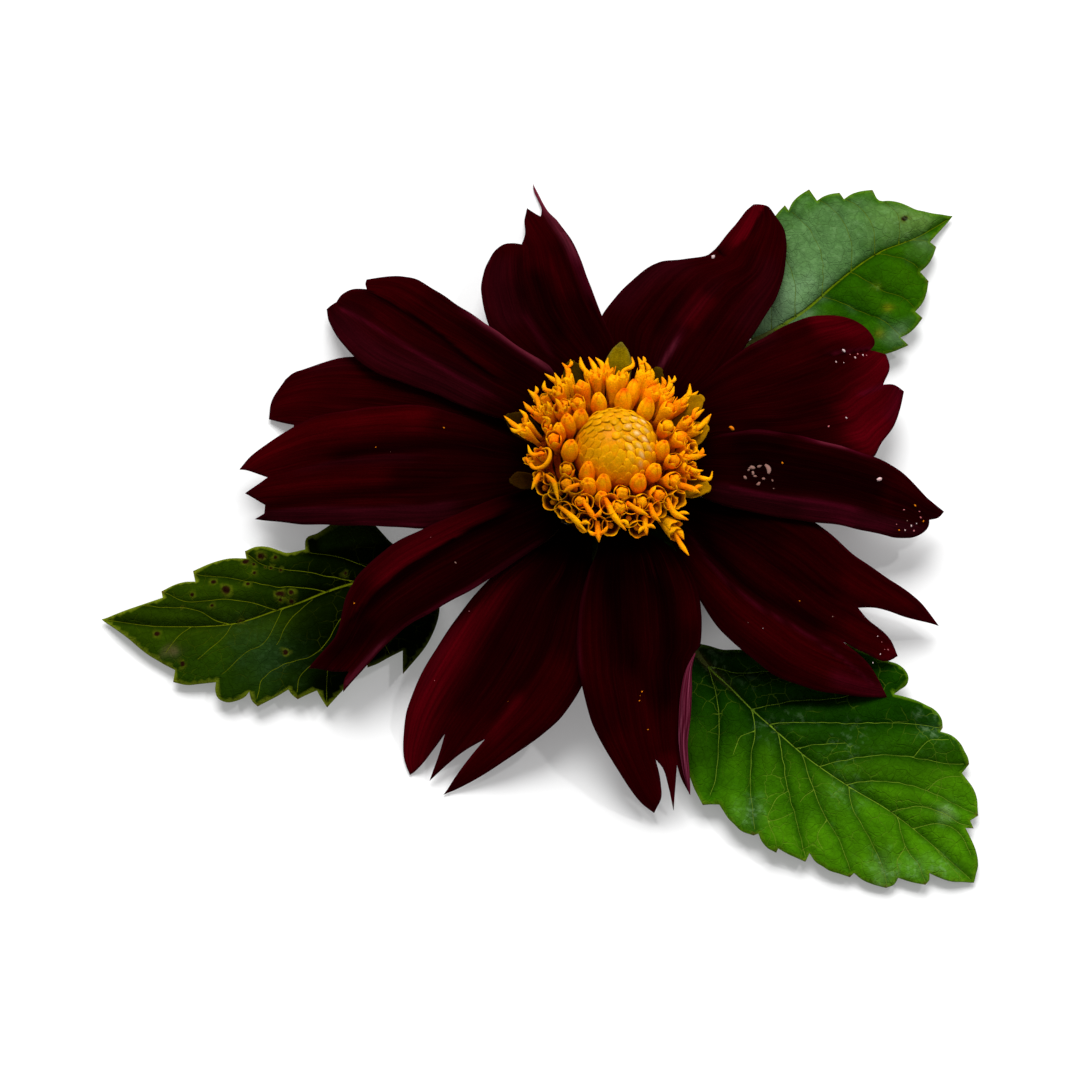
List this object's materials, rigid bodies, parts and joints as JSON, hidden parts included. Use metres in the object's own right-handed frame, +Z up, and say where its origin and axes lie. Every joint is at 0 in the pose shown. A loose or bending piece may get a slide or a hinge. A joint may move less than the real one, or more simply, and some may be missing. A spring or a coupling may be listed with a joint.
{
  "type": "dahlia flower",
  "caption": "Cut open-centred dahlia flower lying face up: dark maroon toothed ray florets round a yellow disc, short stem and serrated green leaves.",
  "frame": {"origin": "middle of the bounding box in plan, at the surface that the flower lies on", "axes": "+Z up, along the flower's axis and out of its face; +X towards the right of the flower as it faces the viewer, the long side of the box; +Y away from the viewer"},
  "size_m": [0.1154, 0.1042, 0.0214],
  "materials": {
    "ray_floret": "velvety satin, very dark maroon with crimson lobes and purple margins",
    "leaf": "waxy semi-gloss green with paler veins",
    "disc_bud": "waxy golden yellow scales",
    "disc_floret": "matt orange-yellow",
    "palea": "papery, half translucent olive brown",
    "inner_bract": "papery, half translucent yellow green",
    "outer_bract": "fleshy satin green",
    "receptacle": "fleshy satin green",
    "stem": "satin green, flushed red brown"
  },
  "bodies": {
    "root": {"disc_bud_dome": "disc_bud", "disc_florets_ring_1": "disc_floret", "disc_florets_ring_2": "disc_floret", "disc_florets_ring_3": "disc_floret", "disc_florets_ring_4": "disc_floret", "inner_bract_1": "inner_bract", "inner_bract_2": "inner_bract", "inner_bract_3": "inner_bract", "inner_bract_4": "inner_bract", "inner_bract_5": "inner_bract", "inner_bract_6": "inner_bract", "inner_bract_7": "inner_bract", "inner_bract_8": "inner_bract", "leaf_left": "leaf", "leaf_lower_right": "leaf", "leaf_upper_right": "leaf", "outer_bract_1": "outer_bract", "outer_bract_2": "outer_bract", "outer_bract_3": "outer_bract", "outer_bract_4": "outer_bract", "outer_bract_5": "outer_bract", "palea_1": "palea", "palea_2": "palea", "palea_3": "palea", "palea_4": "palea", "palea_5": "palea", "palea_6": "palea", "palea_7": "palea", "palea_8": "palea", "ray_floret_01": "ray_floret", "ray_floret_02": "ray_floret", "ray_floret_03": "ray_floret", "ray_floret_04": "ray_floret", "ray_floret_05": "ray_floret", "ray_floret_06": "ray_floret", "ray_floret_07": "ray_floret", "ray_floret_08": "ray_floret", "ray_floret_09": "ray_floret", "ray_floret_10": "ray_floret", "ray_floret_11": "ray_floret", "receptacle": "receptacle", "stem": "stem"}
  },
  "joints": []
}
